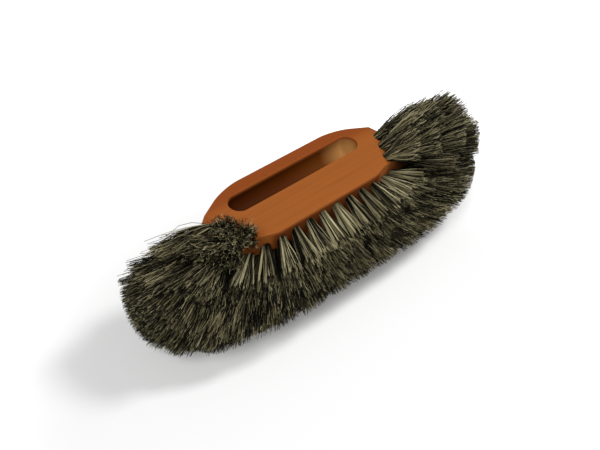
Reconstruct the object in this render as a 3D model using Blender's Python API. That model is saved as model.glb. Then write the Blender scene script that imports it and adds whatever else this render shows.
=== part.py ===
"""Furniture brush: a wooden block gripped along its bare edge, with tufts fanned round the others.

The brush lies on its side. X runs along its length, +Y towards the bare edge that the palm
holds, and +Z out of the upper side face. All sizes are metres.
"""
import math

import bmesh
import bpy
import numpy as np
from mathutils import Vector

# Wooden block: a long six-sided outline, seen from above, with its ends bevelled on both sides
block_thickness = 0.052
front_wall = 0.0253            # from the centre line of the face to the tufted front wall
back_wall = 0.0270             # from the centre line of the face to the bare edge
front_corner_half = 0.0400     # half length of the straight front wall
back_corner_half = 0.0460      # half length of the straight bare edge
tip_half = 0.0910              # half length of the whole block
tip_front = 0.0085             # front corner of the blunt tip, in front of the centre line
tip_back = 0.0005              # back corner of the blunt tip, behind the centre line
front_corner_radius = 0.020
back_corner_radius = 0.045
tip_radius = 0.006
front_edge_round = 0.0010
back_edge_round = 0.0040
corner_segments = 5
edge_segments = 3

# End bevels: each starts on a straight line across the side face
bevel_line_front = (0.0515, -0.0203)
bevel_line_back = (0.0640, 0.0060)
bevel_slope = math.radians(35.0)

# Finger grooves, one in each side face
groove_half_length = 0.0514
groove_near_rim = 0.0023       # rim on the tufted side, behind the centre line of the face
groove_width = 0.0146
groove_depth = 0.0120
groove_end_segments = 8
groove_floor_segments = 4

# Tufts and the blind holes that hold them
hole_radius = 0.0031
hole_depth = 0.0090
tuft_clearance = 0.0003
tuft_stand_out = 0.0016        # bound root that stands out of its hole before the strands part
strand_fill = 0.72             # share of a strand's place at the tips that the strand takes up
rest_cut = 0.0005              # the lowest tips are cut flat by this much
hole_columns = 3               # sides of a hole's grid, which gives the hole 12 sides

# Tips of a tuft cover a patch, given below by its half width and half height.
# Values in pairs are for the first and the last tuft of a row.

# Outline that the tips are trimmed to, seen from above: an oval drawn out towards its corners
outline_half_length = 0.1350
outline_front = 0.0585
outline_power = 3.2
outline_steps = 40             # halvings that find where a tuft meets the outline

# Two rows of tufts along the edges of the front wall, from the middle outwards
edge_row_half_count = 6
edge_row_pitch = 0.0108
edge_row_margin = 0.0065       # from the side face down to the row
edge_row_drop = 0.0080         # the row's ends dive this far, to pass under the bevels
edge_fan = math.radians(52.0)
upper_flare = (math.radians(-27.0), math.radians(-5.0))
lower_flare = (math.radians(3.0), math.radians(2.0))
upper_trim = 0.79              # how far out the upper row's tips reach, as a share of the outline
lower_trim = 0.87
edge_spread = (1.0, 1.8)       # width of the tips' patch as a share of the pitch
edge_tip_height = 0.0055
edge_strands = (3, 3)
edge_end_curve = 4             # how late towards the row's end the drop and the flare change
edge_fan_curve = 2

# Row of tufts round the middle of the block, from tip to tip
middle_row_half_count = 6
middle_row_end_gap = 0.0065
middle_fan = math.radians(88.0)
middle_spread = (1.0, 1.8)
middle_tip_height = 0.0065
middle_droop = math.radians(7.0)      # how far the row's middle hangs towards the lower side
middle_strands = (2, 3)
middle_fan_curve = 1.5
row_gap = 0.0010               # least height between the tips of the middle row and of an edge row

# Tufts on each end bevel: a row along its rim, and a row of longer ones further down it
rim_count = 3
rim_out = 0.0036               # from the bevel's line, down the bevel
rim_along = (0.0085, 0.0290)   # along the bevel's line
rim_fan = (math.radians(60.0), math.radians(91.0))
rim_rise = (math.radians(35.0), math.radians(3.0))
rim_length = (0.0290, 0.0400)
rim_tips = (0.0050, 0.0045)
end_count = 2
end_out = 0.0155
end_along = (0.0180, 0.0285)
end_fan = (math.radians(57.0), math.radians(77.5))
end_rise = (math.radians(23.0), math.radians(19.0))
end_length = (0.0480, 0.0530)
end_tips = (0.0110, 0.0068)
bevel_strands = (3, 3)

# The brush lies on the tufts of its lower bevels, which are pressed flatter
lie_height = 0.0102            # lower side face above what the brush lies on
pressed_end_loss = 0.0040      # how much less far the lower end tufts reach

# Cutting and shading
path_segments = 20             # segments of each rounded corner on the path that the rows follow
cutter_reach = 0.0070          # cutters stand this far out of the wood
cut_tolerance = 1e-7
smooth_angle = math.radians(32.0)

wood_colour = (0.335, 0.108, 0.033, 1.0)
bristle_colour = (0.150, 0.142, 0.098, 1.0)


def clear_scene():
    for item in list(bpy.data.objects):
        bpy.data.objects.remove(item, do_unlink=True)


def make_material(name, colour, roughness):
    material = bpy.data.materials.new(name)
    material.use_nodes = True
    shader = material.node_tree.nodes["Principled BSDF"]
    shader.inputs["Base Color"].default_value = colour
    shader.inputs["Roughness"].default_value = roughness
    shader.inputs["Metallic"].default_value = 0.0
    return material


def rounded_outline(corners, segments):
    """Points round a closed outline of (x, y, radius) corners, given anticlockwise."""
    points = []
    for index, (x, y, radius) in enumerate(corners):
        here = Vector((x, y))
        before = (Vector(corners[index - 1][:2]) - here).normalized()
        after = (Vector(corners[(index + 1) % len(corners)][:2]) - here).normalized()
        half_turn = before.angle(after) / 2.0
        centre = here + (before + after).normalized() * radius / math.sin(half_turn)
        start = here + before * radius / math.tan(half_turn) - centre
        sweep = math.pi - 2.0 * half_turn
        for step in range(segments + 1):
            angle = sweep * step / segments
            turned = Vector((start.x * math.cos(angle) - start.y * math.sin(angle),
                             start.x * math.sin(angle) + start.y * math.cos(angle)))
            points.append(centre + turned)
    return points


def block_corners():
    right = [(front_corner_half, -front_wall, front_corner_radius),
             (tip_half, -tip_front, tip_radius),
             (tip_half, tip_back, tip_radius),
             (back_corner_half, back_wall, back_corner_radius)]
    left = [(-x, y, radius) for x, y, radius in reversed(right)]
    return right + left


def inward_normals(points):
    normals = []
    for index, point in enumerate(points):
        along = points[(index + 1) % len(points)] - points[index - 1]
        normals.append(Vector((-along.y, along.x)).normalized())
    return normals


def edge_round_at(point):
    """Edge rounding: small along the tufted front, full along the bare edge and shoulders."""
    return front_edge_round if point.y < (tip_back - tip_front) / 2.0 else back_edge_round


def stack_rings(mesh, rings):
    """Skins a stack of equal rings, from the lowest to the highest, and caps both ends."""
    loops = [[mesh.verts.new(point) for point in ring] for ring in rings]
    for lower, upper in zip(loops, loops[1:]):
        for index in range(len(lower)):
            following = (index + 1) % len(lower)
            mesh.faces.new((lower[index], lower[following], upper[following], upper[index]))
    mesh.faces.new(list(reversed(loops[0])))
    mesh.faces.new(loops[-1])
    bmesh.ops.recalc_face_normals(mesh, faces=mesh.faces)


def block_rings():
    outline = rounded_outline(block_corners(), corner_segments)
    normals = inward_normals(outline)
    half = block_thickness / 2.0
    turns = [math.pi / 2.0 * step / edge_segments for step in range(edge_segments + 1)]

    def ring(turn, side):
        points = []
        for point, normal in zip(outline, normals):
            radius = edge_round_at(point)
            place = point + normal * radius * (1.0 - math.cos(turn))
            points.append((place.x, place.y, side * (half - radius * (1.0 - math.sin(turn)))))
        return points

    return [ring(turn, -1.0) for turn in reversed(turns)] + [ring(turn, 1.0) for turn in turns]


def bevel_frame():
    """The bevel line's start, its direction and its outward normal, for the right end."""
    start = Vector(bevel_line_front)
    along = (Vector(bevel_line_back) - start).normalized()
    return start, along, Vector((along.y, -along.x))


def cut_end_bevels(mesh):
    start, _, outward = bevel_frame()
    half = block_thickness / 2.0
    for side_x in (1.0, -1.0):
        for side_z in (1.0, -1.0):
            normal = Vector((side_x * outward.x * math.sin(bevel_slope),
                             outward.y * math.sin(bevel_slope),
                             side_z * math.cos(bevel_slope)))
            place = Vector((side_x * start.x, start.y, side_z * half))
            everything = mesh.verts[:] + mesh.edges[:] + mesh.faces[:]
            cut = bmesh.ops.bisect_plane(mesh, geom=everything, dist=cut_tolerance, plane_co=place,
                                         plane_no=normal, clear_outer=True)
            rim = [item for item in cut["geom_cut"] if isinstance(item, bmesh.types.BMEdge)]
            bmesh.ops.holes_fill(mesh, edges=rim, sides=0)
    bmesh.ops.recalc_face_normals(mesh, faces=mesh.faces)


def shade(data):
    data.shade_smooth()
    data.set_sharp_from_angle(angle=smooth_angle)


def add_object(name, mesh, material, parent):
    data = bpy.data.meshes.new(name)
    mesh.to_mesh(data)
    mesh.free()
    shade(data)
    data.materials.append(material)
    item = bpy.data.objects.new(name, data)
    item.parent = parent
    bpy.context.scene.collection.objects.link(item)
    return item


def cut_away(target, meshes):
    """Cuts each mesh out of the target in turn, and leaves no cutter behind."""
    for mesh in meshes:
        cutter = add_object("cutter", mesh, target.active_material, target.parent)
        boolean = target.modifiers.new("cut", "BOOLEAN")
        boolean.operation = "DIFFERENCE"
        boolean.solver = "EXACT"
        boolean.object = cutter
        evaluated = target.evaluated_get(bpy.context.evaluated_depsgraph_get())
        target.data = bpy.data.meshes.new_from_object(evaluated)
        target.modifiers.clear()
        bpy.data.objects.remove(cutter, do_unlink=True)
    target.data.name = target.name
    shade(target.data)


def groove_outline(radius):
    straight = groove_half_length - groove_width / 2.0
    middle = groove_near_rim + groove_width / 2.0
    points = []
    for side in (1.0, -1.0):
        for step in range(groove_end_segments + 1):
            angle = side * (-math.pi / 2.0) + math.pi * step / groove_end_segments
            points.append((side * straight + radius * math.cos(angle), middle + radius * math.sin(angle)))
    return points


def groove_cutter_mesh():
    """Two ball-ended troughs, one let into each side face."""
    mesh = bmesh.new()
    half = block_thickness / 2.0
    radius = groove_width / 2.0
    for side in (1.0, -1.0):
        rings = []
        for step in range(groove_floor_segments, -1, -1):
            turn = math.pi / 2.0 * step / (groove_floor_segments + 0.5)
            level = half - groove_depth + radius * (1.0 - math.sin(turn))
            rings.append([(x, y, side * level) for x, y in groove_outline(radius * math.cos(turn))])
        rings.append([(x, y, side * (half + cutter_reach)) for x, y in groove_outline(radius)])
        stack_rings(mesh, rings)
    return mesh


class Tuft:
    """One tuft: its root on the wood, its hole's direction, and the patch that its tips cover."""

    def __init__(self, root, axis, tip, tips, strands, name=""):
        self.root = root
        self.axis = axis
        self.tip = tip
        self.tips = tips
        self.strands = strands
        self.name = name

    def mirrored(self, name, side_x, side_z):
        turn = Vector((side_x, 1.0, side_z))
        return Tuft(self.root * turn, self.axis * turn, self.tip * turn, self.tips, self.strands, name)


def direction(fan, rise):
    """Unit vector: fan is the angle from -Y towards +X, and rise the angle above the middle plane."""
    return Vector((math.sin(fan) * math.cos(rise), -math.cos(fan) * math.cos(rise), math.sin(rise)))


def between(pair, share):
    return pair[0] + (pair[1] - pair[0]) * share


def front_path():
    """The block's outline from the middle of the front wall to its tip, as a polyline."""
    outline = rounded_outline(block_corners(), path_segments)
    front_and_tip = outline[:2 * (path_segments + 1)]
    return [Vector((0.0, -front_wall))] + front_and_tip


def along_path(path, distance):
    for start, end in zip(path, path[1:]):
        step = (end - start).length
        if distance <= step:
            return start.lerp(end, distance / step)
        distance -= step
    return path[-1].copy()


def path_length(path):
    return sum((end - start).length for start, end in zip(path, path[1:]))


def length_to_outline(root, aim, trim):
    """How long a tuft is, if its tips end on the trimmed outline, drawn in by the share trim."""
    short, long = 0.0, 2.0 * outline_half_length
    for _ in range(outline_steps):
        length = (short + long) / 2.0
        tip = root + aim * length
        out = ((abs(tip.x) / (outline_half_length * trim)) ** outline_power
               + (abs(tip.y) / (outline_front * trim)) ** outline_power)
        short, long = (length, long) if out < 1.0 else (short, length)
    return short


def edge_row(flare, trim, middle_rise):
    """A row beside the middle row, whose tufts rise towards it by up to the angle middle_rise."""
    path = front_path()
    last = (edge_row_half_count - 0.5) * edge_row_pitch
    tufts = []
    for index in range(edge_row_half_count):
        distance = (index + 0.5) * edge_row_pitch
        share = distance / last
        late = share ** edge_end_curve
        place = along_path(path, distance)
        height = block_thickness / 2.0 - edge_row_margin - edge_row_drop * late
        aim = direction(edge_fan * share ** edge_fan_curve, between(flare, late))
        root = Vector((place.x, place.y, height))
        length = length_to_outline(root, aim, trim)
        half_width = edge_row_pitch / 2.0 * between(edge_spread, share ** edge_fan_curve)
        middle_centre = length * math.sin(middle_rise * (1.0 - share))
        middle_top = middle_centre + between((hole_radius, middle_tip_height), trim)
        room = height + length * aim.z - middle_top - row_gap
        tips = (half_width, min(edge_tip_height, room))
        tufts.append(Tuft(root, aim, root + aim * length, tips, edge_strands))
    return tufts


def middle_row():
    path = front_path()
    pitch = (path_length(path) - middle_row_end_gap) / middle_row_half_count
    tufts = []
    for index in range(middle_row_half_count + 1):
        share = index / middle_row_half_count
        place = along_path(path, index * pitch)
        aim = direction(middle_fan * share ** middle_fan_curve, -middle_droop * (1.0 - share))
        root = Vector((place.x, place.y, 0.0))
        tips = (pitch / 2.0 * between(middle_spread, share), middle_tip_height)
        length = length_to_outline(root, aim, 1.0)
        tufts.append(Tuft(root, aim, root + aim * length, tips, middle_strands))
    return tufts


def bevel_root(along_line, out):
    start, along, outward = bevel_frame()
    place = start + along * along_line + outward * out
    return Vector((place.x, place.y, block_thickness / 2.0 - out * math.tan(bevel_slope)))


def pressed_rise(root, length, tip_height):
    """Rise at which a tuft's outermost tips reach what the brush lies on."""
    outermost = tip_height * (1.0 - (1.0 - strand_fill) / bevel_strands[1])
    reach = block_thickness / 2.0 + lie_height + rest_cut - root.z
    return math.asin(reach / math.hypot(length, outermost)) - math.atan2(outermost, length)


def bevel_row(count, out, span, fans, rises, lengths, tips, pressed):
    tufts = []
    for index in range(count):
        share = index / (count - 1)
        fan = between(fans, share)
        rise = between(rises, share)
        length = between(lengths, share)
        root = bevel_root(between(span, share), out)
        lie = min(rise, pressed_rise(root, length, tips[1])) if pressed else rise
        aim = direction(fan, lie)
        tufts.append(Tuft(root, direction(fan, rise), root + aim * length, tips, bevel_strands))
    return tufts


def rim_row(pressed):
    return bevel_row(rim_count, rim_out, rim_along, rim_fan, rim_rise, rim_length, rim_tips, pressed)


def end_row(pressed):
    loss = pressed_end_loss if pressed else 0.0
    lengths = (end_length[0] - loss, end_length[1] - loss)
    return bevel_row(end_count, end_out, end_along, end_fan, end_rise, lengths, end_tips, pressed)


def all_tufts():
    tufts = []
    for number, tuft in enumerate(middle_row()):
        sides = (("right", 1.0), ("left", -1.0)) if number else (("centre", 1.0),)
        for side, side_x in sides:
            tufts.append(tuft.mirrored(f"middle_tuft_{side}_{number}", side_x, 1.0))
    levels = (("upper", 1.0, upper_flare, upper_trim, -middle_droop),
              ("lower", -1.0, lower_flare, lower_trim, middle_droop))
    for level, side_z, flare, trim, middle_rise in levels:
        pressed = side_z < 0.0
        rows = (("edge", edge_row(flare, trim, middle_rise)), ("rim", rim_row(pressed)),
                ("end", end_row(pressed)))
        for row, members in rows:
            for number, tuft in enumerate(members, start=1):
                for side, side_x in (("right", 1.0), ("left", -1.0)):
                    name = f"{level}_{row}_tuft_{side}_{number}"
                    tufts.append(tuft.mirrored(name, side_x, side_z))
    return tufts


def disc_grid(columns, rows):
    """Points of a grid drawn out to a disc of radius 1, and its cells as point indices."""
    points = []
    for row in range(rows + 1):
        for column in range(columns + 1):
            u = 2.0 * column / columns - 1.0
            v = 2.0 * row / rows - 1.0
            points.append((u * math.sqrt(1.0 - v * v / 2.0), v * math.sqrt(1.0 - u * u / 2.0)))
    cells = []
    for row in range(rows):
        for column in range(columns):
            first = row * (columns + 1) + column
            cells.append((first, first + 1, first + columns + 2, first + columns + 1))
    bottom = list(range(columns + 1))
    right = [(row + 1) * (columns + 1) - 1 for row in range(1, rows + 1)]
    top = [rows * (columns + 1) + column for column in range(columns - 1, -1, -1)]
    left = [row * (columns + 1) for row in range(rows - 1, 0, -1)]
    return points, cells, bottom + right + top + left


def tuft_axes(axis):
    across = Vector((0.0, 0.0, 1.0)).cross(axis).normalized()
    return across, axis.cross(across)


def tuft_mesh(tuft):
    """The bound root as a plug, with each cell of its outer end drawn out to a strand."""
    mesh = bmesh.new()
    columns, rows = tuft.strands
    half_width, half_height = tuft.tips
    points, cells, rim = disc_grid(columns, rows)
    across, up = tuft_axes(tuft.axis)
    radius = hole_radius - tuft_clearance
    inner_end = tuft.root - tuft.axis * (hole_depth - tuft_clearance)
    outer_end = tuft.root + tuft.axis * tuft_stand_out
    outer = [mesh.verts.new(outer_end + (across * x + up * y) * radius) for x, y in points]
    inner = {index: mesh.verts.new(inner_end + (across * points[index][0] + up * points[index][1]) * radius)
             for index in rim}
    for here, following in zip(rim, rim[1:] + rim[:1]):
        mesh.faces.new((inner[here], inner[following], outer[following], outer[here]))
    mesh.faces.new([inner[index] for index in reversed(rim)])
    tip_across, tip_up = tuft_axes((tuft.tip - outer_end).normalized())
    for number, cell in enumerate(cells):
        column, row = number % columns, number // columns
        ends = []
        for side_across, side_up in ((-1.0, -1.0), (1.0, -1.0), (1.0, 1.0), (-1.0, 1.0)):
            u = (2.0 * column + 1.0 + side_across * strand_fill) / columns - 1.0
            v = (2.0 * row + 1.0 + side_up * strand_fill) / rows - 1.0
            ends.append(mesh.verts.new(tuft.tip + tip_across * half_width * u + tip_up * half_height * v))
        for side in range(4):
            following = (side + 1) % 4
            mesh.faces.new((outer[cell[side]], outer[cell[following]], ends[following], ends[side]))
        mesh.faces.new(ends)
    bmesh.ops.recalc_face_normals(mesh, faces=mesh.faces)
    return mesh


def cut_flat_below(mesh, level):
    """Cuts the tips that reach below the level, square to Z, and closes them."""
    if min(vertex.co.z for vertex in mesh.verts) >= level:
        return
    everything = mesh.verts[:] + mesh.edges[:] + mesh.faces[:]
    cut = bmesh.ops.bisect_plane(mesh, geom=everything, dist=cut_tolerance, plane_co=(0.0, 0.0, level),
                                 plane_no=(0.0, 0.0, -1.0), clear_outer=True)
    rim = [item for item in cut["geom_cut"] if isinstance(item, bmesh.types.BMEdge)]
    bmesh.ops.holes_fill(mesh, edges=rim, sides=0)
    bmesh.ops.recalc_face_normals(mesh, faces=mesh.faces)


def hole_cutter_mesh(tufts):
    """One round bar for each blind hole, from its floor to well clear of the wood."""
    mesh = bmesh.new()
    for tuft in tufts:
        points, _, rim = disc_grid(hole_columns, hole_columns)
        across, up = tuft_axes(tuft.axis)
        rings = []
        for level in (-hole_depth, cutter_reach):
            centre = tuft.root + tuft.axis * level
            rings.append([centre + (across * points[index][0] + up * points[index][1]) * hole_radius
                          for index in rim])
        stack_rings(mesh, rings)
    return mesh


def build():
    clear_scene()
    wood = make_material("oiled_wood", wood_colour, 0.45)
    bristle = make_material("bristle", bristle_colour, 0.75)
    origin = bpy.data.objects.new("brush", None)
    bpy.context.scene.collection.objects.link(origin)

    tufts = all_tufts()
    meshes = [tuft_mesh(tuft) for tuft in tufts]
    corners = np.array([vertex.co[:] for mesh in meshes for vertex in mesh.verts])
    floor = -block_thickness / 2.0 - lie_height
    for tuft, mesh in zip(tufts, meshes):
        cut_flat_below(mesh, floor)
        add_object(tuft.name, mesh, bristle, origin)

    block_mesh = bmesh.new()
    stack_rings(block_mesh, block_rings())
    cut_end_bevels(block_mesh)
    block = add_object("wooden_block", block_mesh, wood, origin)
    cut_away(block, (groove_cutter_mesh(), hole_cutter_mesh(tufts)))

    middle_y = (corners[:, 1].min() + back_wall) / 2.0
    origin.location = (0.0, -middle_y, -floor)


build()
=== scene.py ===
"""Looks of the furniture brush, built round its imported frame. All sizes are metres."""
import math
from collections import namedtuple

import bmesh
import bpy
import numpy as np
from mathutils import Matrix, Vector


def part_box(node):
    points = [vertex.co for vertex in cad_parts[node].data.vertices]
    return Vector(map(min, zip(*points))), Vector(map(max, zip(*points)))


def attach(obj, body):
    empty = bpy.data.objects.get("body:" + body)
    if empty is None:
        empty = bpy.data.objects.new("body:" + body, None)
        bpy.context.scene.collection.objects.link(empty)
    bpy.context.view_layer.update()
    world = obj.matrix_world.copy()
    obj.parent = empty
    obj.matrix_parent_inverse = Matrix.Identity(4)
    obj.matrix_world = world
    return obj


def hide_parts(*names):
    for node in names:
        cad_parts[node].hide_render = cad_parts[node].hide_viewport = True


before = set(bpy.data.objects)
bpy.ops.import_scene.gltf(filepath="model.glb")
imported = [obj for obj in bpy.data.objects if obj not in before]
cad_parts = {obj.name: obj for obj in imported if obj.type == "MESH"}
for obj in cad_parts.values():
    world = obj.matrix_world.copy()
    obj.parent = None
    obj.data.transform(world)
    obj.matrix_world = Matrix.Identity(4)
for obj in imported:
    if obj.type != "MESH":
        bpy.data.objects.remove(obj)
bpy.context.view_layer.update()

# The photograph's view
camera_azimuth = math.radians(-38.37)
camera_elevation = math.radians(47.6)
camera_aim = Vector((-0.0210, -0.02175, 0.0166))     # from the middle of the block, on its centre line
camera_distance = 0.4695
camera_lens = 45.0
camera_sensor = 36.0
camera_clip_start = 0.01

# Wooden block. Its box gives the walls, the ends and the thickness
block_low, block_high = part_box("wooden_block")
block_middle = (block_low + block_high) / 2.0
half_thickness = (block_high.z - block_low.z) / 2.0
tip_half = block_high.x
face_to_front = 0.0253         # from the centre line of the side face to the front wall
centre_line = block_low.y + face_to_front
middle = Vector((0.0, centre_line, block_middle.z))         # tufts and the camera are placed from it
front_wall = block_low.y
back_wall = block_high.y
front_corner_half = 0.0400
back_corner_half = 0.0460
tip_front = centre_line - 0.0085
tip_back = centre_line + 0.0005
front_corner_radius = 0.020
back_corner_radius = 0.045
tip_radius = 0.006
back_edge_round = 0.0040
front_edge_share = 0.2         # the front edge's rounding, as a share of the back edge's
corner_segments = 10
edge_segments = 6
smooth_angle = math.radians(32.0)
bevel_line_front = Vector((0.0515, centre_line - 0.0203))
bevel_line_back = Vector((0.0640, centre_line + 0.0060))
bevel_slope = math.radians(35.0)

# Finger grooves
groove_half_length = 0.0514
groove_radius = 0.0080
groove_middle_y = centre_line + 0.0021 + groove_radius
groove_depth = 0.0120
groove_rim_round = 0.0028      # of the far rim
near_rim_share = 0.10          # the near rim's rounding, as a share of the far rim's
groove_segments = 32
groove_rings = 16
rim_segments = 4

# Holes that hold the tufts
hole_radius = 0.0031
hole_cut_depth = 0.0040
hole_cut_reach = 0.0060
hole_sides = 20
hole_gap = 0.0001              # between the wall of a hole and its strands

# How near something has to be to count as level or in the middle, at a corner, on a side face or on a rim
level_tolerance = 1e-6
corner_tolerance = 1e-4
face_tolerance = 1e-5
rim_tolerance = 3e-4

# Outline that the tips are trimmed to, seen from above
outline_half_length = 0.1350
outline_front = 0.0640
outline_power = 3.0
outline_halvings = 30          # in the search for the place where a strand meets the outline
# How far the trimmed surface of the front is drawn in, at heights from the middle plane
profile_heights = (-0.030, -0.021, -0.011, -0.004, 0.003, 0.009, 0.016)
profile_shares = (0.82, 0.91, 1.00, 1.02, 0.94, 0.84, 0.74)

# Rows of tufts. Values in pairs are for the first and the last tuft of a row
row_pitch = 0.0108
edge_row_count = 6
edge_row_height = half_thickness - 0.0065
edge_row_drop = 0.0080
edge_fan = math.radians(52.0)
# How the edge rows and second rows lean away from the middle plane, and how far out they reach, as a share
# of the way to the outline. Each has one pair for the upper row and one for the lower row
edge_flares = ((math.radians(-27.0), math.radians(-9.0)), (math.radians(3.0), math.radians(2.0)))
edge_trims = ((0.74, 0.74), (0.80, 0.86))
edge_spread = (1.1, 2.0)       # width of the tips' patch as a share of the pitch
edge_tip_height = 0.0055
second_row_count = 7
second_row_height = (0.0098, 0.0055)
second_flares = ((math.radians(-15.0), math.radians(-5.0)), (math.radians(2.0), math.radians(2.0)))
second_trims = ((0.85, 0.85), (0.92, 0.96))
second_spread = (1.2, 2.2)
second_tip_height = (0.0055, 0.0100)
middle_row_count = 7
middle_row_end_gap = 0.0065
middle_fan = math.radians(88.0)
middle_fan_power = 1.5         # the fan opens late along the middle and second rows
middle_droop = math.radians(7.0)
middle_spread = (1.1, 2.0)
middle_tip_height = (0.0060, 0.0160)
path_steps = 20                # in each rounded corner of the outline that the rows follow

# Tufts on the upper end bevels: side, row, number, place along the bevel's line and down the bevel, fan and
# rise of the hole, fan and rise of the tips, length, half the width and height of the tips' patch, and look
upper_bevel_tufts = (
    ("left", "rim", 1, (0.0085, 0.0036), (38.0, 56.0), (32.0, 52.0), 0.0240, (0.0092, 0.0085), "tousled"),
    ("left", "rim", 2, (0.0187, 0.0036), (50.0, 56.0), (42.0, 52.0), 0.0260, (0.0092, 0.0085), "tousled"),
    ("right", "rim", 1, (0.0085, 0.0036), (52.0, 50.0), (57.0, 28.0), 0.0260, (0.0105, 0.0080), "arched"),
    ("right", "rim", 2, (0.0187, 0.0036), (62.0, 50.0), (71.0, 23.0), 0.0320, (0.0105, 0.0080), "arched"),
    ("left", "rim", 3, (0.0290, 0.0036), (74.0, 54.0), (82.0, 4.0), 0.0350, (0.0110, 0.0065), "arched"),
    ("right", "rim", 3, (0.0290, 0.0036), (78.0, 48.0), (87.0, 0.0), 0.0420, (0.0110, 0.0060), "arched"),
    ("left", "slope", 1, (0.0120, 0.0098), (48.0, 44.0), (46.0, 38.0), 0.0340, (0.0105, 0.0095), "tousled"),
    ("left", "slope", 2, (0.0215, 0.0098), (62.0, 42.0), (60.0, 34.0), 0.0370, (0.0105, 0.0095), "tousled"),
    ("right", "slope", 1, (0.0120, 0.0098), (52.0, 40.0), (50.0, 32.0), 0.0360, (0.0110, 0.0090), "worn"),
    ("right", "slope", 2, (0.0215, 0.0098), (66.0, 36.0), (66.0, 26.0), 0.0400, (0.0110, 0.0090), "worn"),
    ("left", "slope", 3, (0.0310, 0.0098), (84.0, 30.0), (77.0, 8.0), 0.0440, (0.0120, 0.0080), "arched"),
    ("right", "slope", 3, (0.0310, 0.0098), (84.0, 30.0), (80.0, 11.0), 0.0440, (0.0120, 0.0080), "arched"),
    ("both", "crest", 1, (0.0300, 0.0065), (82.0, 36.0), (84.0, 4.0), 0.0390, (0.0115, 0.0075), "arched"),
    ("left", "crest", 2, (0.0300, 0.0128), (80.0, 28.0), (75.0, 10.0), 0.0490, (0.0120, 0.0080), "arched"),
    ("right", "crest", 2, (0.0300, 0.0128), (80.0, 28.0), (78.0, 14.0), 0.0490, (0.0120, 0.0080), "arched"),
    ("both", "end", 1, (0.0180, 0.0155), (57.0, 27.0), (57.0, 22.0), 0.0485, (0.0140, 0.0095), "worn"),
    ("both", "end", 2, (0.0285, 0.0155), (77.5, 23.0), (77.5, 17.0), 0.0530, (0.0140, 0.0095), "worn"),
    ("both", "outer", 1, (0.0235, 0.0225), (62.0, 12.0), (62.0, 11.0), 0.0520, (0.0140, 0.0095), "worn"),
    ("both", "outer", 2, (0.0305, 0.0225), (84.0, 9.0), (84.0, 8.0), 0.0490, (0.0140, 0.0095), "worn"),
    ("both", "corner", 1, (0.0150, 0.0160), (52.0, 12.0), (53.0, 8.0), 0.0400, (0.0120, 0.0085), "worn"),
)
# Rows on each lower end bevel, from its rim outwards: how many, how far down the bevel, where along its
# line, the fan and rise of the holes, the lengths, and half the width and height of the tips
lower_bevel_rows = (
    ("rim", 3, 0.0036, (0.0085, 0.0290), (60.0, 91.0), (35.0, 3.0), (0.0290, 0.0400), (0.0078, 0.0060)),
    ("slope", 3, 0.0098, (0.0120, 0.0310), (58.0, 84.0), (29.0, 4.0), (0.0390, 0.0440), (0.0100, 0.0070)),
    ("end", 2, 0.0155, (0.0180, 0.0285), (57.0, 77.5), (23.0, 19.0), (0.0415, 0.0485), (0.0130, 0.0080)),
    ("outer", 2, 0.0225, (0.0235, 0.0305), (62.0, 84.0), (12.0, 9.0), (0.0440, 0.0445), (0.0130, 0.0090)),
)
lie_height = block_low.z       # lower side face above the floor
rest_height = 0.0002           # lowest bristles above the floor
rest_share = 0.9               # of half the height of the tips' patch, the part held above the floor

# Strands of a tuft
strand_sides = 3
strand_root_radius = 0.00025
strand_tip_radius = 0.00014
strand_cuts = 3
strand_start = -0.0012         # strands start this far inside the hole
strands_per_area = 2.05e6      # strands for each square metre of tips
fewest_strands = 260
scatter_steps = (0.1, 0.9)     # how unevenly the strands' places are spread outwards
scatter_turn = 0.12            # and round the tuft
square_share = 0.75            # how far the tips' patch is drawn out from a disc to a square
smallest_reach = 1e-9          # keeps that from dividing by zero at the middle of the patch
stray_share = 0.02
stray_reach = 0.0022
# Strands are mostly dark or mostly pale. These shape the chance of each tone, for a clump and for one strand
clump_tones = (0.5, 0.55)
own_tones = (0.6, 0.75)
# Trimming: the least and greatest share of the tuft's length, how much of the unevenness in length is alike
# within a clump, how much of it is given back, and the greatest share of the trimmed length
trim_limits = (0.75, 1.25)
clump_jitter_share = 0.3
jitter_return = 0.4
longest_reach = 1.01
bend_share = 0.33              # how far from its ends a strand bends, as a share of the tuft's length
own_aim_share = 0.8            # how far a tip keeps its own direction rather than the tuft's
# How a tuft lies: strands in a clump, how far clumps are drawn together, how uneven the strands are in
# length, how far they curl and part at the tips, how much lighter it is, the hole's pull on its course, how
# much painted shade darkens its strands towards their roots, and how alike in tone the strands of a clump
# are
Look = namedtuple("Look", ("clump_size", "clump_pull", "length_jitter", "curl", "parting", "lighter",
                           "hole_pull", "rooted", "alike"))
looks = {
    "combed": Look(5, (0.60, 0.95), 0.09, 0.0006, 0.0003, 0.15, 0.35, 1.0, 0.80),
    "worn": Look(3, (0.20, 0.65), 0.15, 0.0022, 0.0016, -0.02, 0.35, 1.0, 0.76),
    "arched": Look(3, (0.20, 0.60), 0.26, 0.0028, 0.0022, 0.08, 0.60, 0.6, 0.74),
    "tousled": Look(3, (0.20, 0.60), 0.20, 0.0026, 0.0018, 0.0, 0.50, 1.0, 0.75),
}
# A strand's place in its cell of the texture: a column for each side, and a margin round its faces
column_margins = (0.2, 0.8)
length_margins = (0.1, 0.9)
end_column = 1                 # the strand's two ends share this column

# Finishes
wood_front_colour = (0.350, 0.105, 0.023)
wood_painted_back_shade_colour = (0.275, 0.066, 0.014)
wood_streak_colour = (0.230, 0.062, 0.013)
wall_painted_shade_colour = (0.110, 0.026, 0.006)
grain_scale = (9.0, 420.0, 300.0)
cloud_scale = (14.0, 60.0, 60.0)
# Painted shade: where the wood darkens towards its back, as the light falls off there, from the centre line,
# and how far the clouds shift that place
painted_back_shade_reach = (0.006, 0.020)
cloud_shift = 0.010
streak_range = (0.48, 0.78)
streak_share = 0.42
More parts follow.
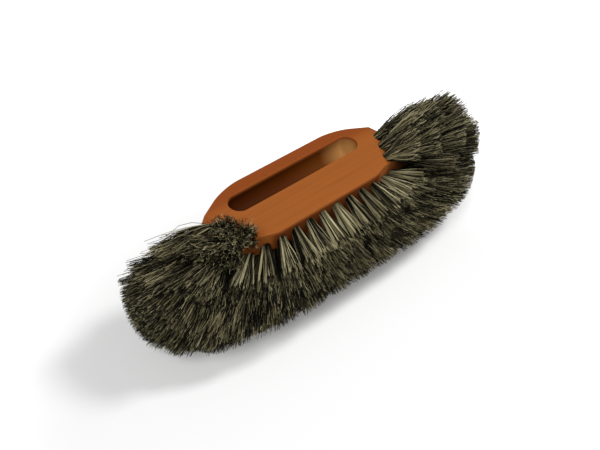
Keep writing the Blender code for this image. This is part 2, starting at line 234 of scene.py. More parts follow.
# Painted shade in the groove: at which depths it comes in, how far past the rim it goes, and its share
groove_painted_shade_depths = (0.0006, 0.0036)
groove_painted_shade_margin = 0.0005
groove_painted_shade_share = 0.92
# Painted shade on the front wall under the face's edge: where it fades out behind the wall, at which depths
# it comes in, and its share
wall_painted_shade_reach = (0.0004, 0.0020)
wall_painted_shade_depths = (0.0004, 0.0030)
wall_painted_shade_share = 0.85
# Painted shade and light inside the groove, from its dark left end to its right end, a painted pool of light
groove_shade_and_light_tones = ((0.0, (0.020, 0.003, 0.0)), (0.45, (0.052, 0.010, 0.0)), (0.76, (0.090, 0.024, 0.0020)),
                (0.98, (0.480, 0.240, 0.0750)))
# From the darkest strands to the palest
bristle_tones = ((0.0, (0.0020, 0.0015, 0.0010)), (0.40, (0.006, 0.005, 0.003)),
                 (0.62, (0.070, 0.060, 0.030)), (0.82, (0.300, 0.264, 0.138)), (1.0, (0.620, 0.556, 0.330)))
# Painted shade that darkens the strands towards their roots
bristle_root_shade_colour = (0.005, 0.004, 0.002)
bristle_root_shade_range = (0.55, 1.0)
bristle_root_shade_share = 0.60

# Floor. It glows white far from the brush, and less round the place where the brush lies
floor_size = 6.0
floor_colour = (0.85, 0.85, 0.85)
glow_centre = (-0.06, -0.10, 0.0)
glow_reach = (0.15, 0.36)
glow_levels = (0.13, 1.0)
black = (0.0, 0.0, 0.0)
white = (1.0, 1.0, 1.0)

# Lamps: name, place, width and height, and watts. The room's light is brighter to the camera alone
lamps = (("left_softbox", (-0.52, -0.36, 0.92), (0.4, 0.4), 6.2),
         ("right_softbox", (0.52, -0.21, 0.86), (0.22, 0.22), 5.3))
lamp_aim = Vector((0.0, 0.0, 0.03))
room_light = 0.18
added_for_camera = 0.82


def deselect():
    if bpy.context.object and bpy.context.object.mode != "OBJECT":
        bpy.ops.object.mode_set(mode="OBJECT")
    bpy.ops.object.select_all(action="DESELECT")


def activate(item):
    deselect()
    item.select_set(True)
    bpy.context.view_layer.objects.active = item


def apply_place():
    bpy.ops.object.transform_apply(location=True, rotation=True, scale=True)


def apply_modifier(item, kind, **settings):
    activate(item)
    modifier = item.modifiers.new(kind.lower(), kind)
    for name, value in settings.items():
        setattr(modifier, name, value)
    bpy.ops.object.modifier_apply(modifier=modifier.name)


def select_edges(item, wanted):
    """In edit mode, selects exactly the edges for which wanted(edge) is true."""
    bpy.ops.mesh.select_mode(type="EDGE")
    mesh = bmesh.from_edit_mesh(item.data)
    for part in (mesh.verts, mesh.edges, mesh.faces):
        for element in part:
            element.select = False
    for edge in mesh.edges:
        if wanted(edge):
            edge.select_set(True)
    bmesh.update_edit_mesh(item.data)


def cut_plane(place, normal):
    bpy.ops.mesh.select_all(action="SELECT")
    bpy.ops.mesh.bisect(plane_co=place, plane_no=normal, use_fill=True, clear_outer=True)


def set_weights(item, weight):
    """Weights each edge for a Bevel modifier by weight(start, end)."""
    weights = item.data.attributes.get("bevel_weight_edge")
    weights = weights or item.data.attributes.new("bevel_weight_edge", "FLOAT", "EDGE")
    for edge in item.data.edges:
        start, end = (item.data.vertices[index].co for index in edge.vertices)
        weights.data[edge.index].value = weight(start, end)


def model_block():
    """The bare block: a box, sawn to its outline, its corners and edges rounded and its ends bevelled."""
    deselect()
    bpy.ops.mesh.primitive_cube_add(size=1.0, location=block_middle, scale=block_high - block_low)
    block = bpy.context.object
    block.name = "oiled_block"
    apply_place()
    bpy.ops.object.mode_set(mode="EDIT")
    saw_outline(block)
    bpy.ops.object.mode_set(mode="OBJECT")
    set_weights(block, edge_weight)
    apply_modifier(block, "BEVEL", width=back_edge_round, segments=edge_segments, limit_method="WEIGHT")
    activate(block)
    bpy.ops.object.mode_set(mode="EDIT")
    bevel_ends()
    bpy.ops.object.mode_set(mode="OBJECT")
    return block


def saw_outline(block):
    """In edit mode, saws the box to its long outline with blunt tips, and rounds its upright corners."""
    front_run = Vector((tip_half - front_corner_half, tip_front - front_wall))
    back_run = Vector((tip_half - back_corner_half, back_wall - tip_back))
    for side in (1.0, -1.0):
        cut_plane((side * tip_half, tip_front, block_middle.z), (side * front_run.y, -front_run.x, 0.0))
        cut_plane((side * tip_half, tip_back, block_middle.z), (side * back_run.y, back_run.x, 0.0))
    front_turn = math.atan2(front_run.y, front_run.x)
    back_turn = math.atan2(back_run.y, back_run.x)
    corners = ((front_corner_half, front_wall, front_corner_radius, front_turn),
               (tip_half, tip_front, tip_radius, math.pi / 2.0 - front_turn),
               (tip_half, tip_back, tip_radius, math.pi / 2.0 - back_turn),
               (back_corner_half, back_wall, back_corner_radius, back_turn))
    for x, y, radius, turn in corners:
        def at_corner(edge):
            centre = (edge.verts[0].co + edge.verts[1].co) / 2.0
            return math.hypot(abs(centre.x) - x, centre.y - y) < corner_tolerance
        select_edges(block, at_corner)
        bpy.ops.mesh.bevel(offset=radius * math.tan(turn / 2.0), segments=corner_segments, affect="EDGES")


def edge_weight(start, end):
    """How much of the back edge's rounding an edge gets: none if it stands upright."""
    if abs(start.z - end.z) > level_tolerance:
        return 0.0
    return front_edge_share if start.y + end.y < tip_front + tip_back else 1.0


def bevel_outward():
    along = (bevel_line_back - bevel_line_front).normalized()
    return Vector((along.y, -along.x))


def bevel_ends():
    outward = bevel_outward()
    for side in (1.0, -1.0):
        for level in (1.0, -1.0):
            place = (side * bevel_line_front.x, bevel_line_front.y, block_middle.z + level * half_thickness)
            cut_plane(place, (side * outward.x * math.sin(bevel_slope), outward.y * math.sin(bevel_slope),
                              level * math.cos(bevel_slope)))


def model_trough(level, run):
    """Half a ball drawn out along the groove and up past the side face, to cut one groove with."""
    deselect()
    face = block_middle.z + level * half_thickness
    centre = Vector((0.0, groove_middle_y, face - level * (groove_depth - groove_radius)))
    bpy.ops.mesh.primitive_uv_sphere_add(segments=groove_segments, ring_count=groove_rings,
                                         radius=groove_radius, location=centre)
    trough = bpy.context.object
    apply_place()
    bpy.ops.object.mode_set(mode="EDIT")
    bpy.ops.mesh.select_all(action="SELECT")
    bpy.ops.mesh.bisect(plane_co=centre, plane_no=(0.0, 0.0, level), clear_outer=True)
    select_edges(trough, lambda edge: edge.is_boundary)
    bpy.ops.mesh.extrude_region_move(
        TRANSFORM_OT_translate={"value": (0.0, 0.0, level * (groove_depth + groove_radius))})
    bpy.ops.mesh.edge_face_add()
    bpy.ops.mesh.select_all(action="SELECT")
    bpy.ops.mesh.normals_make_consistent(inside=False)
    bpy.ops.object.mode_set(mode="OBJECT")
    activate(trough)
    bpy.ops.object.mode_set(mode="EDIT")
    bpy.ops.mesh.select_all(action="SELECT")
    bpy.ops.mesh.bisect(plane_co=centre, plane_no=(1.0, 0.0, 0.0))
    bpy.ops.object.mode_set(mode="OBJECT")
    for vertex in trough.data.vertices:
        if abs(vertex.co.x) > level_tolerance:
            vertex.co.x += math.copysign(run, vertex.co.x)
    return trough


def cut_grooves(block):
    """Lets a ball-ended trough into each side face, crisp at its near rim and eased at its far rim."""
    run = groove_half_length - groove_radius
    for level in (1.0, -1.0):
        trough = model_trough(level, run)
        apply_modifier(block, "BOOLEAN", operation="DIFFERENCE", solver="EXACT", object=trough)
        bpy.data.objects.remove(trough, do_unlink=True)

    def rim_weight(start, end):
        above_face = abs(start.z - block_middle.z) - half_thickness
        if abs(above_face) > face_tolerance or abs(start.z - end.z) > face_tolerance:
            return 0.0
        centre = (start + end) / 2.0
        away = Vector((max(abs(centre.x) - run, 0.0), centre.y - groove_middle_y))
        if abs(away.length - groove_radius) > rim_tolerance:
            return 0.0
        far = 0.5 + 0.5 * away.y / groove_radius
        return near_rim_share + (1.0 - near_rim_share) * far * far
    set_weights(block, rim_weight)
    apply_modifier(block, "BEVEL", width=groove_rim_round, segments=rim_segments, limit_method="WEIGHT")


class Tuft:
    """One tuft: its root on the wood, its hole's direction, and the patch that its tips cover.

    Places are from the middle of the block, on the centre line of its side face.
    """

    def __init__(self, root, axis, tip, tips, look="worn", name=""):
        self.root = root
        self.axis = axis
        self.tip = tip
        self.tips = tips
        self.look = look
        self.name = name

    def mirrored(self, name, side_x, side_z):
        turn = Vector((side_x, 1.0, side_z))
        return Tuft(self.root * turn, self.axis * turn, self.tip * turn, self.tips, self.look, name)


def direction(fan, rise):
    """Unit vector: fan is the angle from -Y towards +X, and rise the angle above the middle plane."""
    return Vector((math.sin(fan) * math.cos(rise), -math.cos(fan) * math.cos(rise), math.sin(rise)))


def between(pair, share):
    return pair[0] + (pair[1] - pair[0]) * share


def late(share):
    """Near 0 along most of a row, and 1 at its end."""
    return share ** 4


def front_path():
    """The block's outline from the middle of its front wall to its tip, seen from the centre line."""
    corners = [Vector((0.0, -face_to_front)), Vector((front_corner_half, -face_to_front)),
               Vector((tip_half, tip_front - centre_line)), Vector((tip_half, tip_back - centre_line))]
    path = [corners[0]]
    for number, radius in ((1, front_corner_radius), (2, tip_radius)):
        here = corners[number]
        before = (corners[number - 1] - here).normalized()
        after = (corners[number + 1] - here).normalized()
        half_turn = before.angle(after) / 2.0
        centre = here + (before + after).normalized() * radius / math.sin(half_turn)
        start = here + before * radius / math.tan(half_turn) - centre
        for step in range(path_steps + 1):
            turned = start.copy()
            turned.rotate(Matrix.Rotation((math.pi - 2.0 * half_turn) * step / path_steps, 2))
            path.append(centre + turned)
    return path


def along_path(path, distance):
    for start, end in zip(path, path[1:]):
        step = (end - start).length
        if distance <= step:
            return start.lerp(end, distance / step)
        distance -= step
    return path[-1].copy()


def outline_share(places):
    """How far out places are, as a share of the way to the outline."""
    x = np.abs(places[:, 0]) / outline_half_length
    y = np.abs(places[:, 1]) / outline_front
    return (x ** outline_power + y ** outline_power) ** (1.0 / outline_power)


def lengths_to_outline(starts, aims, trims):
    """How long strands are, if their tips end on the outline, drawn in by the shares trims."""
    short = np.zeros(len(starts))
    long = np.full(len(starts), 2.0 * outline_half_length)
    for _ in range(outline_halvings):
        half = (short + long) / 2.0
        within = outline_share(starts + aims * half[:, None]) < trims
        short = np.where(within, half, short)
        long = np.where(within, long, half)
    return short


def length_to_outline(root, aim, trim):
    return float(lengths_to_outline(np.array([root]), np.array([aim]), trim)[0])


def edge_row(path, flare, trim, look):
    tufts = []
    for index in range(edge_row_count):
        distance = (index + 0.5) * row_pitch
        share = distance / ((edge_row_count - 0.5) * row_pitch)
        place = along_path(path, distance)
        root = Vector((place.x, place.y, edge_row_height - edge_row_drop * late(share)))
        aim = direction(edge_fan * share ** 2, between(flare, late(share)))
        width = row_pitch / 2.0 * between(edge_spread, share ** 2)
        length = length_to_outline(root, aim, between(trim, share ** 2))
        tufts.append(Tuft(root, aim, root + aim * length, (width, edge_tip_height), look))
    return tufts


def second_row(path, reach, flare, trim):
    """The row between an edge row and the middle row, set half a pitch off the edge row."""
    tufts = []
    for index in range(second_row_count):
        distance = index * row_pitch
        share = distance / ((second_row_count - 1) * row_pitch)
        place = along_path(path, distance)
        root = Vector((place.x, place.y, between(second_row_height, late(share))))
        fan = middle_fan * (distance / reach) ** middle_fan_power
        aim = direction(fan, between(flare, late(share)))
        width = row_pitch / 2.0 * between(second_spread, share ** 2)
        length = length_to_outline(root, aim, between(trim, share ** 2))
        tips = (width, between(second_tip_height, late(share)))
        tufts.append(Tuft(root, aim, root + aim * length, tips))
    return tufts


def middle_row(path, reach):
    pitch = reach / (middle_row_count - 1)
    tufts = []
    for index in range(middle_row_count):
        share = index / (middle_row_count - 1)
        place = along_path(path, index * pitch)
        root = Vector((place.x, place.y, 0.0))
        aim = direction(middle_fan * share ** middle_fan_power, -middle_droop * (1.0 - share))
        tips = (pitch / 2.0 * between(middle_spread, share), between(middle_tip_height, share ** 3))
        tufts.append(Tuft(root, aim, root + aim * length_to_outline(root, aim, 1.0), tips))
    return tufts


def bevel_root(along_line, out):
    start = bevel_line_front - Vector((0.0, centre_line))
    along = (bevel_line_back - bevel_line_front).normalized()
    place = start + along * along_line + bevel_outward() * out
    return Vector((place.x, place.y, half_thickness - out * math.tan(bevel_slope)))


def upper_bevel_group():
    """The tufts on the upper end bevels, each bending over from its hole's direction to its tips'."""
    tufts = []
    for sides, row, number, place, hole, tips_aim, length, tips, look in upper_bevel_tufts:
        root = bevel_root(*place)
        hole = direction(*(math.radians(angle) for angle in hole))
        aim = direction(*(math.radians(angle) for angle in tips_aim))
        tuft = Tuft(root, hole, root + aim * length, tips, look)
        for side, side_x in (("right", 1.0), ("left", -1.0)):
            if sides in (side, "both"):
                tufts.append(tuft.mirrored(f"upper_{row}_tuft_{side}_{number}", side_x, 1.0))
    return tufts


def lower_bevel_row(count, out, span, fans, rises, lengths, tips):
    """A row across the lower end bevel. It bends on its way out, until its tips lie on the floor."""
    tufts = []
    for index in range(count):
        share = index / (count - 1)
        fan = math.radians(between(fans, share))
        rise = math.radians(between(rises, share))
        root = bevel_root(between(span, share), out)
        length = between(lengths, share)
        hole = direction(fan, rise)
        reach = half_thickness + lie_height - root.z
        outermost = tips[1] * rest_share
        rise = min(rise, math.asin(reach / math.hypot(length, outermost)) - math.atan2(outermost, length))
        tufts.append(Tuft(root, hole, root + direction(fan, rise) * length, tips))
    return tufts


def all_tufts():
    path = front_path()
    reach = sum((end - start).length for start, end in zip(path, path[1:])) - middle_row_end_gap
    rows = [("middle", "", 1.0, middle_row(path, reach))]
    for number, (level, side_z, look) in enumerate((("upper_", 1.0, "combed"), ("lower_", -1.0, "worn"))):
        row = edge_row(path, edge_flares[number], edge_trims[number], look)
        rows.append(("edge", level, side_z, row))
        row = second_row(path, reach, second_flares[number], second_trims[number])
        rows.append(("second", level, side_z, row))
    for name, *values in lower_bevel_rows:
        rows.append((name, "lower_", -1.0, lower_bevel_row(*values)))
    both_sides = (("right", 1.0), ("left", -1.0))
    tufts = upper_bevel_group()
    for name, level, side_z, row in rows:
        first = 0 if name in ("middle", "second") else 1
        for number, tuft in enumerate(row, start=first):
            for side, side_x in both_sides if number > 0 else (("centre", 1.0),):
                tufts.append(tuft.mirrored(f"{level}{name}_tuft_{side}_{number}", side_x, side_z))
    return tufts


def model_hole_cutter():
    """One round bar, standing on the origin."""
    deselect()
    height = hole_cut_depth + hole_cut_reach
    bpy.ops.mesh.primitive_cylinder_add(vertices=hole_sides, radius=hole_radius, depth=height,
                                        location=(0.0, 0.0, height / 2.0 - hole_cut_depth))
    apply_place()
    return bpy.context.object


def drill_holes(block, tufts):
    """Every tuft's hole, in one cut by copies of one bar."""
    bar = model_hole_cutter()
    copies = []
    for tuft in tufts:
        copy = bar.copy()
        copy.data = bar.data.copy()
        turn = tuft.axis.to_track_quat("Z", "Y").to_matrix().to_4x4()
        copy.data.transform(Matrix.Translation(middle + tuft.root) @ turn)
        bpy.context.scene.collection.objects.link(copy)
        copies.append(copy)
    deselect()
    for copy in copies:
        copy.select_set(True)
    bpy.context.view_layer.objects.active = copies[0]
    bpy.ops.object.join()
    cutter = bpy.context.object
    apply_modifier(block, "BOOLEAN", operation="DIFFERENCE", solver="EXACT", use_self=True, object=cutter)
    bpy.data.objects.remove(cutter, do_unlink=True)
    bpy.data.objects.remove(bar, do_unlink=True)


def strand_layout(data):
    """Each face corner's place in the strand's cell of the texture."""
    layout = []
    for face in data.polygons:
        turn = math.atan2(face.center.y, face.center.x) / (2.0 * math.pi) % 1.0
        column = min(int(turn * strand_sides), strand_sides - 1)
        if abs(face.normal.z) > 0.5:
            column = end_column
        angle = (column + 0.5) * 2.0 * math.pi / strand_sides
        onward = Vector((-math.sin(angle), math.cos(angle), 0.0))
        for corner in face.vertices:
            place = data.vertices[corner].co
            margin = column_margins[1] if place.dot(onward) > 0.0 else column_margins[0]
            layout.append(((column + margin) / strand_sides, between(length_margins, place.z)))
    return np.array(layout)


def model_strand():
    """One strand, drawn as a slender cone of unit height and unit radius, with rings along it.

    Returns its points, its faces and its layout on the texture.
    """
    deselect()
    bpy.ops.mesh.primitive_cone_add(vertices=strand_sides, radius1=1.0,
                                    radius2=strand_tip_radius / strand_root_radius,
                                    depth=1.0, location=(0.0, 0.0, 0.5))
    strand = bpy.context.object
    apply_place()
    bpy.ops.object.mode_set(mode="EDIT")
    for step in range(1, strand_cuts + 1):
        bpy.ops.mesh.select_all(action="SELECT")
        bpy.ops.mesh.bisect(plane_co=(0.0, 0.0, step / (strand_cuts + 1)), plane_no=(0.0, 0.0, 1.0))
    bpy.ops.object.mode_set(mode="OBJECT")
    points = np.array([vertex.co for vertex in strand.data.vertices])
    faces = [list(face.vertices) for face in strand.data.polygons]
    layout = strand_layout(strand.data)
    bpy.data.objects.remove(strand, do_unlink=True)
    return points, faces, layout


def scatter(count, random):
    """Points spread evenly over a disc of radius 1."""
    turn = math.pi * (3.0 - math.sqrt(5.0))
    order = np.arange(count)
    radius = np.sqrt((order + random.uniform(*scatter_steps, count)) / count)
    angle = order * turn + random.uniform(0.0, 2.0 * math.pi) + random.normal(0.0, scatter_turn, count)
    return np.stack((radius * np.cos(angle), radius * np.sin(angle)), axis=1)


def disc_to_square(points):
    """Draws a disc of radius 1 out to the square round it, a little rounded at its corners."""
    x, y = points[:, 0], points[:, 1]
    reach = np.hypot(x, y)
    largest = np.maximum(np.maximum(np.abs(x), np.abs(y)), smallest_reach)
    squared = points * (reach / largest)[:, None]
    return squared * square_share + points * (1.0 - square_share)


def axes_across(axis):
    across = Vector((0.0, 0.0, 1.0)).cross(axis).normalized()
    return np.array(across), np.array(axis.cross(across))


def unit_rows(rows):
    return rows / np.linalg.norm(rows, axis=1)[:, None]


def run_of(tuft):
    """The tuft's length, and the direction from its root to its tip."""
    run = np.array(middle + tuft.tip) - np.array(middle + tuft.root)
    length = float(np.linalg.norm(run))
    return length, run / length


def gather_clumps(spread, look, random):
    """The clump that each strand is in, its tip's place in the patch, and its tone."""
    centres = spread[random.permutation(len(spread))[:len(spread) // look.clump_size]]
    clump = np.argmin(((spread[:, None, :] - centres[None, :, :]) ** 2).sum(axis=2), axis=1)
    target = disc_to_square(spread)
    pull = random.uniform(*look.clump_pull, len(centres))[clump][:, None]
    target = target + (disc_to_square(centres)[clump] - target) * pull
    clump_tone = random.beta(*clump_tones, len(centres))[clump]
    own_tone = random.beta(*own_tones, len(spread))
    tone = np.clip(look.alike * clump_tone + (1.0 - look.alike) * own_tone + look.lighter, 0.0, 1.0)
    return clump, target, tone


def place_ends(tuft, look, spread, target, random):
    """Where each strand starts in the hole, and where it ends before it is trimmed."""
    root_across, root_up = axes_across(tuft.axis)
    tip_across, tip_up = axes_across((tuft.tip - tuft.root).normalized())
    room = hole_radius - strand_root_radius - hole_gap
    starts = (np.array(middle + tuft.root) + np.array(tuft.axis) * strand_start
              + (spread[:, :1] * root_across + spread[:, 1:] * root_up) * room)
    ends = (np.array(middle + tuft.tip) + target[:, :1] * tip_across * tuft.tips[0]
            + target[:, 1:] * tip_up * tuft.tips[1])
    stray = random.random(len(spread)) < stray_share
    ends += random.normal(0.0, 1.0, ends.shape) * np.where(stray, stray_reach, look.parting)[:, None]
    return starts, ends


def trimmed_lengths(tuft, starts, ends, own):
    """How long the strands are, trimmed to the outline.

    Tufts that stand up are trimmed less. The profile counts less for tufts that point along the block.
    """
    length, outward = run_of(tuft)
    slant = (np.interp(ends[:, 2] - middle.z, profile_heights, profile_shares)
             - np.interp(tuft.tip.z, profile_heights, profile_shares)) * (1.0 - outward[0] ** 6)
    trims = outline_share(np.array([tuft.tip])) + slant
    trimmed = lengths_to_outline(starts - np.array(middle), own, np.minimum(trims, 1.0))
    trimmed = np.clip(trimmed, trim_limits[0] * length, trim_limits[1] * length)
    return length + (trimmed - length) * (1.0 - outward[2] ** 2) ** 2


def uneven_shares(clump, look, random):
    """The share of its trimmed length that each strand reaches."""
    count = len(clump)
    own_loss = np.abs(random.normal(0.0, look.length_jitter, count))
    clump_gain = random.normal(0.0, clump_jitter_share * look.length_jitter, count // look.clump_size)[clump]
    return np.minimum(1.0 - own_loss + clump_gain + jitter_return * look.length_jitter, longest_reach)


def bend_strands(tuft, look, points, starts, ends, own, random):
    """The strand's points, once for each strand, along a curve from its start to its end."""
    length, outward = run_of(tuft)
    leave = np.array(tuft.axis) * look.hole_pull + own * (1.0 - look.hole_pull)
    arrive = own * own_aim_share + outward * (1.0 - own_aim_share)
    first = starts + leave * length * bend_share
    last = ends - arrive * length * bend_share
    last += random.normal(0.0, look.curl, last.shape)
    along = points[:, 2][None, :, None]
    line = (starts[:, None] * (1.0 - along) ** 3 + 3.0 * first[:, None] * along * (1.0 - along) ** 2
            + 3.0 * last[:, None] * along ** 2 * (1.0 - along) + ends[:, None] * along ** 3)
    side = unit_rows(np.cross(own, random.normal(0.0, 1.0, own.shape)))
    other = np.cross(own, side)
    body = line + strand_root_radius * (points[:, 0][None, :, None] * side[:, None]
                                        + points[:, 1][None, :, None] * other[:, None])
    body[:, :, 2] = np.maximum(body[:, :, 2], rest_height)
    return body


def build_strands(name, body, strand, tone, rooted):
    """One object of all the strands, with their tones, the painted shade towards their roots and their
    texture cells.
    """
    points, faces, layout = strand
    count = len(body)
    corner_count = len(points)
    every_face = [[corner + corner_count * index for corner in face]
                  for index in range(count) for face in faces]
    data = bpy.data.meshes.new(name)
    data.from_pydata(body.reshape(-1, 3).tolist(), [], every_face)
    depth = rooted * (1.0 - points[:, 2])
    for label, values in (("tone", np.repeat(tone, corner_count)), ("depth", np.tile(depth, count))):
        data.attributes.new(label, "FLOAT", "POINT").data.foreach_set("value", values.astype(np.float32))
    columns = math.ceil(math.sqrt(count))
    cells = np.stack((np.arange(count) % columns, np.arange(count) // columns), axis=1)
    places = (cells[:, None] + layout[None]) / columns
    data.uv_layers.new(name="OFBake").data.foreach_set("uv", places.ravel().astype(np.float32))
    item = bpy.data.objects.new(name + "_strands", data)
    bpy.context.scene.collection.objects.link(item)
    activate(item)
    bpy.ops.object.shade_smooth()
    return item


def grow_tuft(tuft, strand, number):
    """Copies the strand all over the tuft's root, each bent out to its own place among the tips."""
    random = np.random.default_rng(number)
    look = looks[tuft.look]
    count = max(fewest_strands, int(4.0 * tuft.tips[0] * tuft.tips[1] * strands_per_area))
    spread = scatter(count, random)
    clump, target, tone = gather_clumps(spread, look, random)
    starts, ends = place_ends(tuft, look, spread, target, random)
    own = unit_rows(ends - starts)
    lengths = trimmed_lengths(tuft, starts, ends, own) * uneven_shares(clump, look, random)
    ends = starts + own * lengths[:, None]
    body = bend_strands(tuft, look, strand[0], starts, ends, own, random)
    return build_strands(tuft.name, body, strand, tone, look.rooted)


class Value:
    """A node's output, which takes part in sums written as plain arithmetic."""

    def __init__(self, nodes, made, output=0):
        self.nodes = nodes
        self.made = made
        self.socket = made.outputs[output] if made.outputs else None

    def output(self, output):
        """Another output of the same node."""
        return Value(self.nodes, self.made, output)

    def worked(self, operation, *values):
        return self.nodes.node("ShaderNodeMath", {"operation": operation}, dict(enumerate(values)))

    def __add__(self, other):
        return self.worked("ADD", self, other)

    def __sub__(self, other):
        return self.worked("SUBTRACT", self, other)

    def __mul__(self, other):
        return self.worked("MULTIPLY", self, other)

    def __rsub__(self, other):
        return self.worked("SUBTRACT", other, self)

    def __abs__(self):
        return self.worked("ABSOLUTE", self)

    def __lt__(self, other):
        return self.worked("LESS_THAN", self, other)

    __radd__ = __add__
    __rmul__ = __mul__


class Nodes:
    """The nodes of a material or of the world, built from nothing."""

    def __init__(self, owner):
        owner.use_nodes = True
        self.tree = owner.node_tree
        self.tree.nodes.clear()

    def node(self, kind, settings=None, sockets=None, output=0):
        """Makes one node. Sockets take values, colours or other nodes' outputs."""
        made = self.tree.nodes.new(kind)
        for name, value in (settings or {}).items():
            if name == "stops":
                self.set_stops(made.color_ramp, value)
            else:
                setattr(made, name, value)
        for name, value in (sockets or {}).items():
            socket = made.inputs[name]
            if isinstance(value, Value):
                self.tree.links.new(value.socket, socket)
            elif socket.type == "RGBA":
                socket.default_value = (*value, 1.0)
            else:
                socket.default_value = value
        return Value(self, made, output)

    def set_stops(self, ramp, stops):
        while len(ramp.elements) < len(stops):
            ramp.elements.new(1.0)
        for element, (position, colour) in zip(ramp.elements, stops):
            element.position = position
            element.color = (*colour, 1.0)

    def mix(self, share, first, second):
        """Mixes two colours."""
        return self.node("ShaderNodeMix", {"data_type": "RGBA"}, {0: share, 6: first, 7: second}, output=2)

    def ranged(self, value, given, levels=(0.0, 1.0), interpolation="SMOOTHSTEP"):
        """Goes from one of the levels to the other while value goes through the range given."""
        return self.node("ShaderNodeMapRange", {"interpolation_type": interpolation},
                         {"Value": value, "From Min": given[0], "From Max": given[1],
                          "To Min": levels[0], "To Max": levels[1]})


def shifted(pair, start):
    return (start + pair[0], start + pair[1])


def oiled_wood():
    material = bpy.data.materials.new("oiled_wood")
    nodes = Nodes(material)
    place = nodes.node("ShaderNodeTexCoord", output="Object")
    along = nodes.node("ShaderNodeSeparateXYZ", {}, {0: place}, output="X")
    across = along.output("Y")
    height = along.output("Z")
    grain_place = nodes.node("ShaderNodeMapping", {}, {"Vector": place, "Scale": grain_scale})
    grain = nodes.node("ShaderNodeTexNoise", {}, {"Vector": grain_place, "Scale": 1.0, "Detail": 3.0,
                                                  "Roughness": 0.6, "Distortion": 0.2})
    cloud_place = nodes.node("ShaderNodeMapping", {}, {"Vector": place, "Scale": cloud_scale})
    cloud = nodes.node("ShaderNodeTexNoise", {}, {"Vector": cloud_place, "Scale": 1.0, "Detail": 2.0,
                                                  "Roughness": 0.5})
    # Painted shade: the wood darkens towards its back
    painted_back_shade = nodes.ranged(across + cloud_shift * (cloud - 0.5), shifted(painted_back_shade_reach, centre_line),
                            interpolation="SMOOTHERSTEP")
    colour = nodes.mix(painted_back_shade, wood_front_colour, wood_painted_back_shade_colour)
    streaks = nodes.ranged(grain, streak_range, interpolation="LINEAR")
    colour = nodes.mix(streak_share * streaks, colour, wood_streak_colour)

    sunk = half_thickness - abs(height - block_middle.z)
    # Painted shade inside the groove, deepest at its left end, and a painted pool of light at its right end
    inside = nodes.ranged(sunk, groove_painted_shade_depths)
    inside = inside * (abs(across - groove_middle_y) < groove_radius + groove_painted_shade_margin)
    inside = inside * (abs(along) < groove_half_length + groove_painted_shade_margin)
    lengthwise = nodes.ranged(along, (-groove_half_length, groove_half_length), interpolation="LINEAR")
    groove_shade_and_light = nodes.node("ShaderNodeValToRGB", {"stops": groove_shade_and_light_tones}, {"Fac": lengthwise})
    colour = nodes.mix(groove_painted_shade_share * inside, colour, groove_shade_and_light)

    # Painted shade on the front wall, under the face's edge and above the tufts
    at_wall = nodes.ranged(across, shifted(wall_painted_shade_reach, front_wall), (1.0, 0.0))
    below_face = nodes.ranged(sunk, wall_painted_shade_depths)
    colour = nodes.mix(wall_painted_shade_share * at_wall * below_face, colour, wall_painted_shade_colour)
    bump = nodes.node("ShaderNodeBump", {}, {"Height": grain, "Strength": 0.06, "Distance": 0.0002})
    shader = nodes.node("ShaderNodeBsdfPrincipled", {}, {
        "Base Color": colour, "Roughness": 0.52 + 0.10 * grain, "Specular IOR Level": 0.03, "Normal": bump})
    nodes.node("ShaderNodeOutputMaterial", {}, {"Surface": shader})
    return material


def bristle_hair():
    material = bpy.data.materials.new("grey_bristle")
    nodes = Nodes(material)
    tone = nodes.node("ShaderNodeAttribute", {"attribute_name": "tone"}, output="Fac")
    colour = nodes.node("ShaderNodeValToRGB", {"stops": bristle_tones}, {"Fac": tone})
    # Painted shade towards the roots, read from the strands' depth attribute
    depth = nodes.node("ShaderNodeAttribute", {"attribute_name": "depth"}, output="Fac")
    shade = nodes.ranged(depth, bristle_root_shade_range, (0.0, bristle_root_shade_share))
    colour = nodes.mix(shade, colour, bristle_root_shade_colour)
    shader = nodes.node("ShaderNodeBsdfPrincipled", {}, {"Base Color": colour, "Roughness": 0.45,
                                                         "Specular IOR Level": 0.08})
    nodes.node("ShaderNodeOutputMaterial", {}, {"Surface": shader})
    return material


def pale_floor():
    """A pale floor that also glows, but only to the camera and in reflections."""
    material = bpy.data.materials.new("pale_floor")
    nodes = Nodes(material)
    camera_ray = nodes.node("ShaderNodeLightPath", output="Is Camera Ray")
    seen = camera_ray + camera_ray.output("Is Glossy Ray") + camera_ray.output("Is Transmission Ray")
    diffuse = nodes.node("ShaderNodeBsdfDiffuse", {}, {"Color": floor_colour})
    place = nodes.node("ShaderNodeTexCoord", output="Object")
    away = nodes.node("ShaderNodeVectorMath", {"operation": "DISTANCE"}, {0: place, 1: glow_centre},
                      output="Value")
    share = nodes.ranged(away, glow_reach, glow_levels)
    glow = nodes.node("ShaderNodeEmission", {}, {"Color": nodes.mix(share * seen, black, white)})
    both = nodes.node("ShaderNodeAddShader", {}, {0: diffuse, 1: glow})
    nodes.node("ShaderNodeOutputMaterial", {}, {"Surface": both})
    return material


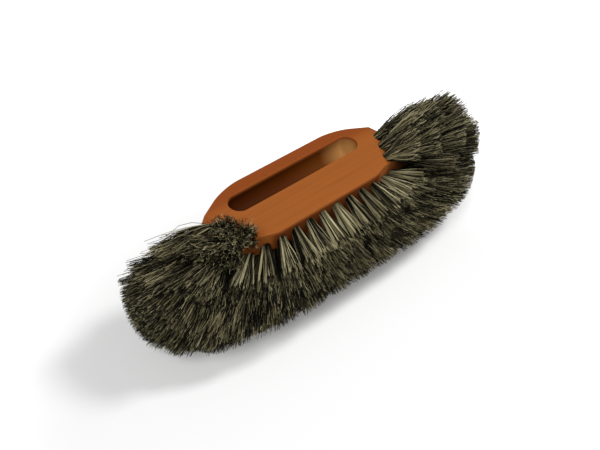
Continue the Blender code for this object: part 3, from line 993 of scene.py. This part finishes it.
def soft_room():
    """The room's even light, which the camera sees as white."""
    world = bpy.data.worlds.new("soft_room")
    nodes = Nodes(world)
    camera_ray = nodes.node("ShaderNodeLightPath", output="Is Camera Ray")
    background = nodes.node("ShaderNodeBackground", {}, {
        "Color": white, "Strength": camera_ray * added_for_camera + room_light})
    nodes.node("ShaderNodeOutputWorld", {}, {"Surface": background})
    return world


def soft_light(name, place, size, power):
    data = bpy.data.lights.new(name, "AREA")
    data.shape = "RECTANGLE"
    data.size, data.size_y = size
    data.energy = power
    lamp = bpy.data.objects.new(name, data)
    lamp.location = place
    lamp.rotation_euler = (Vector(place) - lamp_aim).to_track_quat("Z", "Y").to_euler()
    bpy.context.scene.collection.objects.link(lamp)


def paint(item, material):
    item.data.materials.clear()
    item.data.materials.append(material)


# The wooden block
tufts = all_tufts()
wood = oiled_wood()
block = model_block()
cut_grooves(block)
drill_holes(block, tufts)
activate(block)
bpy.ops.object.shade_smooth_by_angle(angle=smooth_angle)
apply_modifier(block, "WEIGHTED_NORMAL", keep_sharp=True)
paint(block, wood)
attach(block, "root")
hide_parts("wooden_block")

# The tufts
bristle = bristle_hair()
strand = model_strand()
for number, tuft in enumerate(tufts):
    item = grow_tuft(tuft, strand, number)
    paint(item, bristle)
    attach(item, "root")
    if tuft.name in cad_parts:
        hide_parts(tuft.name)

# Floor and light
deselect()
bpy.ops.mesh.primitive_plane_add(size=floor_size)
floor = bpy.context.object
floor.name = "floor"
paint(floor, pale_floor())
for lamp in lamps:
    soft_light(*lamp)
bpy.context.scene.world = soft_room()

# Camera
back = Vector((math.sin(camera_azimuth) * math.cos(camera_elevation),
               -math.cos(camera_azimuth) * math.cos(camera_elevation), math.sin(camera_elevation)))
camera_data = bpy.data.cameras.new("photo_camera")
camera_data.lens = camera_lens
camera_data.sensor_width = camera_sensor
camera_data.clip_start = camera_clip_start
camera = bpy.data.objects.new("photo_camera", camera_data)
camera.location = middle + camera_aim + back * camera_distance
camera.rotation_euler = back.to_track_quat("Z", "Y").to_euler()
bpy.context.scene.collection.objects.link(camera)
bpy.context.scene.camera = camera
bpy.context.scene.view_settings.view_transform = "Standard"
